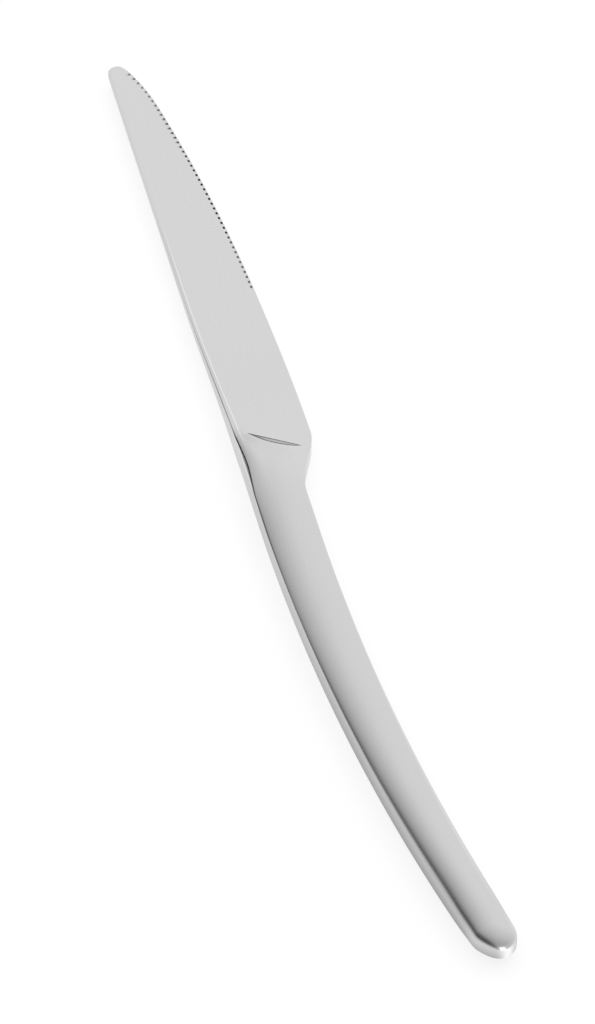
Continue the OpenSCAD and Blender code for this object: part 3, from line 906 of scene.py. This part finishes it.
# Plain matt material for a piece inside the handle, with faint grain of about a millimetre
def mattMaterial(name, base, metallic, rough):
    m, tree = newMaterial(name)
    at = addNode(tree, "ShaderNodeTexCoord")
    perMetre = 900.0
    grain = addNode(
        tree, "ShaderNodeTexNoise", {"Vector": at.outputs["Object"], "Scale": perMetre, "Detail": 2.0}
    )
    tint = colourMix(tree, grain.outputs["Fac"], colour(base[0]), colour(base[1]))
    shader = addNode(
        tree, "ShaderNodeBsdfPrincipled", {"Base Color": tint, "Metallic": metallic, "Roughness": rough}
    )
    addNode(tree, "ShaderNodeOutputMaterial", {"Surface": shader.outputs["BSDF"]})
    return m


bladeSteel = satinSteel("groundStainlessSteel")
handleSteel = satinSteel("brushedStainlessSteel")
braze = mattMaterial("silverBraze", ("#c9b981", "#b7a56c"), 1.0, 0.45)
cement = mattMaterial("handleCement", ("#d9d3c6", "#cbc4b4"), 0.0, 0.9)

for piece, node, slot, material in (
    (bladePiece, "blade", "blade_steel", bladeSteel),
    (upperShell, "upper_handle_shell", "handle_steel", handleSteel),
    (lowerShell, "lower_handle_shell", "handle_steel", handleSteel),
):
    piece.data.materials.append(material)
    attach(piece, "root")
    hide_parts(node)
for node, material in (("seam_braze", braze), ("handle_cement", cement)):
    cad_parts[node].data.materials.clear()
    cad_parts[node].data.materials.append(material)
print("materials set")

# Camera: 40 degrees from straight above, from the butt's side, a long lens one metre away
view = {
    "turn": -14.5,  # knife's axis from the picture's upright
    "tilt": 40.0,  # from straight above
    "distance": 1000.0,  # millimetres to the picture's centre
    "target": (9.3, -2.52, 3.85),  # millimetres in the row's frame
    "scale": 0.1925,  # millimetres in one pixel at the target
    "height": 1024,  # pixels
    "sensor": 36.0,  # millimetres
    "clipStart": 0.01,  # metres
}


# Placing matrix from three axes and a point
def pose(x, y, z, at):
    m = np.eye(4)
    m[:3] = np.stack([x, y, z, at], -1)
    return Matrix(m.tolist())


turn = math.radians(view["turn"])
tilt = math.radians(view["tilt"])
overhead = np.array([0.0, 0.0, 1.0])
away = np.array([math.cos(turn), math.sin(turn), 0.0])
rightward = np.array([math.sin(turn), -math.cos(turn), 0.0])
look = math.sin(tilt) * away - math.cos(tilt) * overhead
upward = math.cos(tilt) * away + math.sin(tilt) * overhead
cameraData = bpy.data.cameras.new("camera")
cameraData.sensor_fit = "VERTICAL"
cameraData.sensor_height = view["sensor"]
cameraData.lens = view["distance"] / view["scale"] * view["sensor"] / view["height"]
cameraData.clip_start = view["clipStart"]
camera = newObject("camera", cameraData)
cameraAt = (np.array(view["target"]) - view["distance"] * look) * 0.001
camera.matrix_world = pose(rightward, upward, -look, cameraAt)
bpy.context.scene.camera = camera

# Floor: plain white and matt; seen directly or in the steel it is mostly its own white, with a faint shadow
floorLook = {
    "half": 3.0,  # metres
    "colour": "#f7f7f7",
    "white": 0.8,  # part that is its own white where it is seen
}
floorSize = floorLook["half"]
floorCorners = [(x * floorSize, y * floorSize, 0.0) for x, y in ((-1, -1), (1, -1), (1, 1), (-1, 1))]
floorMesh = bpy.data.meshes.new("floor")
floorMesh.from_pydata(floorCorners, [], [(0, 1, 2, 3)])
floor = newObject("floor", floorMesh)
floorMaterial, floorTree = newMaterial("whiteFloor")


# Two values joined by one calculation
def joined(tree, operation, a, b):
    return addNode(tree, "ShaderNodeMath", {0: a, 1: b}, operation=operation).outputs[0]


ray = addNode(floorTree, "ShaderNodeLightPath")
seen = joined(floorTree, "MAXIMUM", ray.outputs["Is Camera Ray"], ray.outputs["Is Glossy Ray"])
seen = joined(floorTree, "MAXIMUM", seen, ray.outputs["Is Transmission Ray"])
ownWhite = joined(floorTree, "MULTIPLY", seen, floorLook["white"])
matt = addNode(floorTree, "ShaderNodeBsdfDiffuse", {"Color": colour(floorLook["colour"])})
white = addNode(floorTree, "ShaderNodeEmission", {"Color": colour("#ffffff"), "Strength": 1.0})
floorShader = addNode(
    floorTree,
    "ShaderNodeMixShader",
    {0: ownWhite, 1: matt.outputs["BSDF"], 2: white.outputs["Emission"]},
)
addNode(floorTree, "ShaderNodeOutputMaterial", {"Surface": floorShader.outputs[0]})
floorMesh.materials.append(floorMaterial)

# Studio surroundings: brightest beyond the knife and on the right, darker to the left, overhead and behind,
# with a low glow at the back left; stops are the position along a direction, from -1 to 1, and the brightness
studioStops = {
    "left": (
        (-0.35, 0.93),
        (0.0, 0.9),
        (0.26, 0.8),
        (0.5, 0.675),
        (0.7, 0.53),
        (0.8, 0.4),
        (0.9, 0.16),
        (0.97, 0.05),
        (1.0, 0.04),
    ),
    "away": (
        (-1.0, 0.5),
        (-0.5, 0.54),
        (0.0, 0.78),
        (0.36, 0.9),
        (0.55, 1.0),
        (0.9, 1.0),
        (0.95, 0.7),
        (0.985, 0.2),
        (1.0, 0.1),
    ),
    "backLeft": ((-1.0, 1.0), (0.5, 1.0), (0.62, 0.75), (0.74, 0.12), (0.95, 0.03), (1.0, 0.03)),
    "glowHeight": ((-1.0, 0.85), (0.14, 0.85), (0.42, 0.0), (1.0, 0.0)),
    "glowPlace": ((-1.0, 0.0), (0.56, 0.0), (0.8, 1.0), (1.0, 1.0)),
}
world = bpy.data.worlds.new("studio")
world.use_nodes = True
bpy.context.scene.world = world
sky = world.node_tree
sky.nodes.clear()
direction = addNode(sky, "ShaderNodeTexCoord")


# Brightness along one direction, straight between its stops
def brightness(axis, stops):
    ends = {0: direction.outputs["Generated"], 1: tuple(axis)}
    along = addNode(sky, "ShaderNodeVectorMath", ends, operation="DOT_PRODUCT")
    whole = {"Value": along.outputs["Value"], "From Min": -1.0, "From Max": 1.0}
    unit = addNode(sky, "ShaderNodeMapRange", whole)
    ramp = addNode(sky, "ShaderNodeValToRGB", {0: unit.outputs["Result"]})
    while len(ramp.color_ramp.elements) < len(stops):
        ramp.color_ramp.elements.new(0.5)
    for element, (position, value) in zip(ramp.color_ramp.elements, stops):
        element.position = (position + 1.0) / 2.0
        element.color = (value, value, value, 1.0)
    return ramp.outputs["Color"]


backLeft = -0.85 * rightward - 0.53 * away  # direction of the dark corner
leftLight = brightness(-rightward, studioStops["left"])
awayLight = brightness(away, studioStops["away"])
cornerLight = brightness(backLeft, studioStops["backLeft"])
glowHeight = brightness(overhead, studioStops["glowHeight"])
glowPlace = brightness(backLeft, studioStops["glowPlace"])
studio = joined(sky, "MULTIPLY", joined(sky, "MULTIPLY", leftLight, awayLight), cornerLight)
studio = joined(sky, "MAXIMUM", studio, joined(sky, "MULTIPLY", glowHeight, glowPlace))
glow = addNode(sky, "ShaderNodeBackground", {"Color": colour("#ffffff"), "Strength": studio})
addNode(sky, "ShaderNodeOutputWorld", {"Surface": glow.outputs[0]})

# Soft lamps: place and size in metres, power in watts, and whether the steel mirrors them
lamps = {
    "overheadFill": {"at": np.array([0.2, 0.0, 1.6]), "size": 2.2, "power": 22.0, "mirrored": False},
    "frontLamp": {
        "at": -1.26 * away + 0.35 * rightward + 0.32 * overhead,
        "size": 0.6,
        "power": 2.0,
        "mirrored": True,
    },
}
for name, lamp in lamps.items():
    lampData = bpy.data.lights.new(name, "AREA")
    lampData.size = lamp["size"]
    lampData.energy = lamp["power"]
    lampObject = newObject(name, lampData)
    back = lamp["at"] / np.linalg.norm(lamp["at"])
    across = np.cross(-back, (0.0, 1.0, 0.0))
    across = across / np.linalg.norm(across)
    lampObject.matrix_world = pose(across, np.cross(back, across), back, lamp["at"])
    lampObject.visible_glossy = lamp["mirrored"]
    lampObject.visible_camera = False
print("studio set")

bpy.context.scene.view_settings.view_transform = "Standard"
